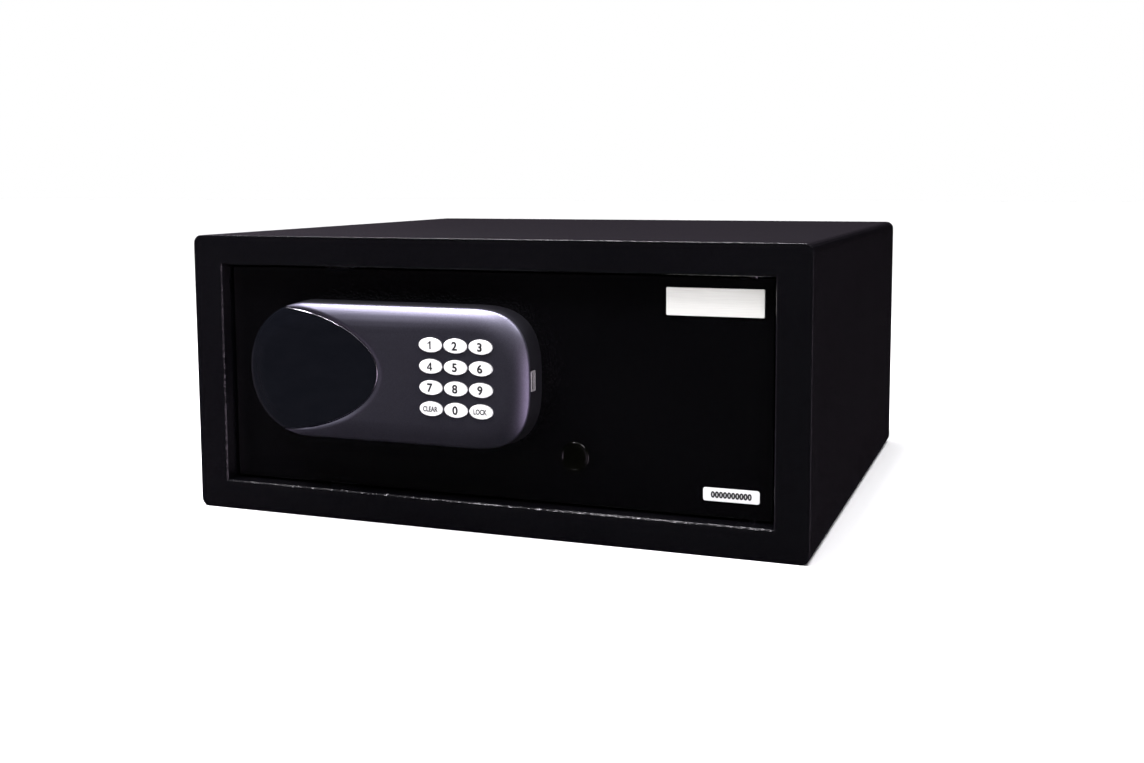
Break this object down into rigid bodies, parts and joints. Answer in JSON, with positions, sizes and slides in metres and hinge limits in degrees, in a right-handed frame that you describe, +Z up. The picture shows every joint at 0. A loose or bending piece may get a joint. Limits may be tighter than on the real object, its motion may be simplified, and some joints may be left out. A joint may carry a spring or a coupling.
{
  "type": "in room safe",
  "caption": "Laptop-size hotel room safe: steel box, recessed hinged door, round-ended keypad console with dark window, motor-driven side bolts, emergency lock, battery hatch.",
  "frame": {"origin": "centre of the cabinet's underside", "axes": "+X to the right seen from the front, +Y from the front to the rear, +Z up"},
  "size_m": [0.45, 0.4141, 0.2],
  "materials": {
    "powder_coat": "fine textured black powder coat",
    "console": "satin charcoal ABS",
    "window": "smoked acrylic, nearly black",
    "keycap": "satin white keys",
    "bright_steel": "ground and polished steel",
    "zinc": "zinc plated pressed steel",
    "brass": "turned brass",
    "name_metal": "brushed plate",
    "label": "white film label",
    "gloss_black": "glossy black moulding",
    "black_plastic": "fine grained black moulding",
    "keypad_rubber": "silicone rubber",
    "felt": "needle felt",
    "circuit": "green solder mask",
    "red_plastic": "red moulding",
    "cell_jacket": "plastic sleeve",
    "cable": "black cable jacket"
  },
  "bodies": {
    "cabinet": {"body_shell": "powder_coat", "rear_panel": "powder_coat", "floor_mat": "felt", "floor_plug_left": "black_plastic", "floor_plug_right": "black_plastic", "rear_plug_left": "black_plastic", "rear_plug_right": "black_plastic", "door_stop_top": "zinc", "door_stop_bottom": "zinc"},
    "bolt_set": {"bolt_carriage": "zinc", "bolt_upper": "bright_steel", "bolt_lower": "bright_steel"},
    "pinion_body": {"pinion": "brass"},
    "lock_set": {"lock_core": "brass", "lock_cam": "zinc"},
    "cap_body": {"emergency_cap": "gloss_black"},
    "hatch_body": {"battery_cover": "black_plastic"},
    "reset_body": {"reset_button": "red_plastic"},
    "key_1_body": {"key_1": "keycap"},
    "key_2_body": {"key_2": "keycap"},
    "key_3_body": {"key_3": "keycap"},
    "key_4_body": {"key_4": "keycap"},
    "key_5_body": {"key_5": "keycap"},
    "key_6_body": {"key_6": "keycap"},
    "key_7_body": {"key_7": "keycap"},
    "key_8_body": {"key_8": "keycap"},
    "key_9_body": {"key_9": "keycap"},
    "key_clear_body": {"key_clear": "keycap"},
    "key_0_body": {"key_0": "keycap"},
    "key_lock_body": {"key_lock": "keycap"},
    "door": {"door_plate": "powder_coat", "hinge_bracket_top": "zinc", "hinge_bracket_bottom": "zinc", "hinge_pin_top": "bright_steel", "hinge_pin_bottom": "bright_steel", "inner_cover": "powder_coat", "bolt_bracket": "zinc", "carriage_guide": "zinc", "arm_guide": "zinc", "gearbox": "black_plastic", "motor": "bright_steel", "control_board": "circuit", "reset_switch": "black_plastic", "lock_housing": "zinc", "lock_nut": "zinc", "battery_box": "black_plastic", "battery_1": "cell_jacket", "battery_2": "cell_jacket", "battery_3": "cell_jacket", "battery_4": "cell_jacket", "console_housing": "console", "display_lens": "window", "display_module": "black_plastic", "keypad_board": "circuit", "keypad_membrane": "keypad_rubber", "usb_shell": "bright_steel", "usb_tongue": "black_plastic", "cable_loom": "cable", "nameplate": "name_metal", "serial_label": "label"}
  },
  "joints": [
    {"name": "door_hinge", "type": "hinge", "parent": "cabinet", "child": "door", "pos_m": [0.185, -0.1805, 0.1], "axis": [0, 0, 1], "range_deg": [0, 95]},
    {"name": "bolt_slide", "type": "slide", "parent": "door", "child": "bolt_set", "axis": [-1, 0, 0], "range_m": [0, 0.014]},
    {"name": "drive_pinion", "type": "hinge", "parent": "door", "child": "pinion_body", "pos_m": [-0.085, -0.169, 0.0917], "axis": [0, -1, 0], "range_deg": [0, 115]},
    {"name": "emergency_lock", "type": "hinge", "parent": "door", "child": "lock_set", "pos_m": [0.066, -0.17, 0.0553], "axis": [0, 1, 0], "range_deg": [-90, 0]},
    {"name": "cap_pull", "type": "slide", "parent": "door", "child": "cap_body", "axis": [0, -1, 0], "range_m": [0, 0.012]},
    {"name": "battery_cover_slide", "type": "slide", "parent": "door", "child": "hatch_body", "axis": [-1, 0, 0], "range_m": [0, 0.035]},
    {"name": "button_reset", "type": "slide", "parent": "door", "child": "reset_body", "axis": [0, -1, 0], "range_m": [0, 0.0015], "stiffness_N_per_m": 300},
    {"name": "key_1_press", "type": "slide", "parent": "door", "child": "key_1_body", "axis": [0, 1, 0], "range_m": [0, 0.001], "stiffness_N_per_m": 400},
    {"name": "key_2_press", "type": "slide", "parent": "door", "child": "key_2_body", "axis": [0, 1, 0], "range_m": [0, 0.001], "stiffness_N_per_m": 400},
    {"name": "key_3_press", "type": "slide", "parent": "door", "child": "key_3_body", "axis": [0, 1, 0], "range_m": [0, 0.001], "stiffness_N_per_m": 400},
    {"name": "key_4_press", "type": "slide", "parent": "door", "child": "key_4_body", "axis": [0, 1, 0], "range_m": [0, 0.001], "stiffness_N_per_m": 400},
    {"name": "key_5_press", "type": "slide", "parent": "door", "child": "key_5_body", "axis": [0, 1, 0], "range_m": [0, 0.001], "stiffness_N_per_m": 400},
    {"name": "key_6_press", "type": "slide", "parent": "door", "child": "key_6_body", "axis": [0, 1, 0], "range_m": [0, 0.001], "stiffness_N_per_m": 400},
    {"name": "key_7_press", "type": "slide", "parent": "door", "child": "key_7_body", "axis": [0, 1, 0], "range_m": [0, 0.001], "stiffness_N_per_m": 400},
    {"name": "key_8_press", "type": "slide", "parent": "door", "child": "key_8_body", "axis": [0, 1, 0], "range_m": [0, 0.001], "stiffness_N_per_m": 400},
    {"name": "key_9_press", "type": "slide", "parent": "door", "child": "key_9_body", "axis": [0, 1, 0], "range_m": [0, 0.001], "stiffness_N_per_m": 400},
    {"name": "key_clear_press", "type": "slide", "parent": "door", "child": "key_clear_body", "axis": [0, 1, 0], "range_m": [0, 0.001], "stiffness_N_per_m": 400},
    {"name": "key_0_press", "type": "slide", "parent": "door", "child": "key_0_body", "axis": [0, 1, 0], "range_m": [0, 0.001], "stiffness_N_per_m": 400},
    {"name": "key_lock_press", "type": "slide", "parent": "door", "child": "key_lock_body", "axis": [0, 1, 0], "range_m": [0, 0.001], "stiffness_N_per_m": 400}
  ],
  "couplings": [
    {"joint": "drive_pinion", "follows": "bolt_slide", "rad_per_m": 142.86}
  ]
}
